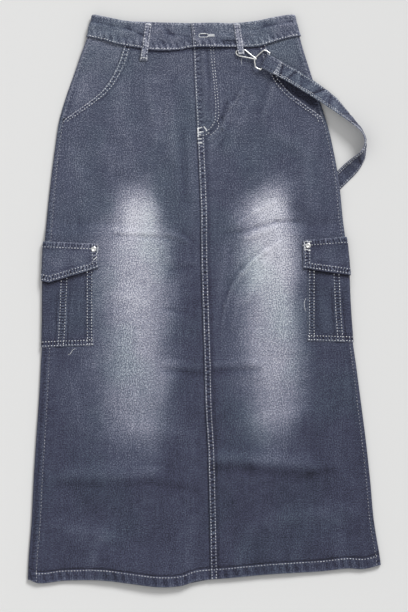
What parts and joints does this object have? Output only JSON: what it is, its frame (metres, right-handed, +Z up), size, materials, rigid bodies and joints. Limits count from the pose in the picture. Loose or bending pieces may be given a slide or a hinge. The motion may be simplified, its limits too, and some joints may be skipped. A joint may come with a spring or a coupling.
{
  "type": "long cargo skirt",
  "caption": "Long denim skirt laid flat, front up, with a fly, slanted hip pockets, cargo pockets that wrap round the sides, belt loops and a denim strap on a bent-wire clip.",
  "frame": {"origin": "on the surface that the skirt lies on, under the middle of its bounding box", "axes": "+X to the viewer's right across the skirt, +Y from the hem to the waist, +Z up out of the front"},
  "size_m": [0.5998, 0.9721, 0.0259],
  "materials": {
    "denim": "washed and worn slate-blue twill, stitched in pale grey thread",
    "nickel": "nickel plate, lightly worn",
    "zip_tape": "dark woven tape"
  },
  "bodies": {
    "root": {"front_left": "denim", "back_left": "denim", "hip_piece_left": "denim", "front_right": "denim", "back_right": "denim", "hip_piece_right": "denim", "fly_zip": "zip_tape", "fly_shield": "denim", "waistband": "denim", "waist_button": "nickel", "cargo_pocket_left": "denim", "cargo_flap_left": "denim", "rivet_left": "nickel", "cargo_pocket_right": "denim", "cargo_flap_right": "denim", "rivet_right": "nickel", "belt_loop_left": "denim", "belt_loop_right": "denim", "belt_loop_back_left": "denim", "belt_loop_back_centre": "denim", "belt_loop_back_right": "denim", "strap": "denim", "strap_clip": "nickel"}
  },
  "joints": []
}
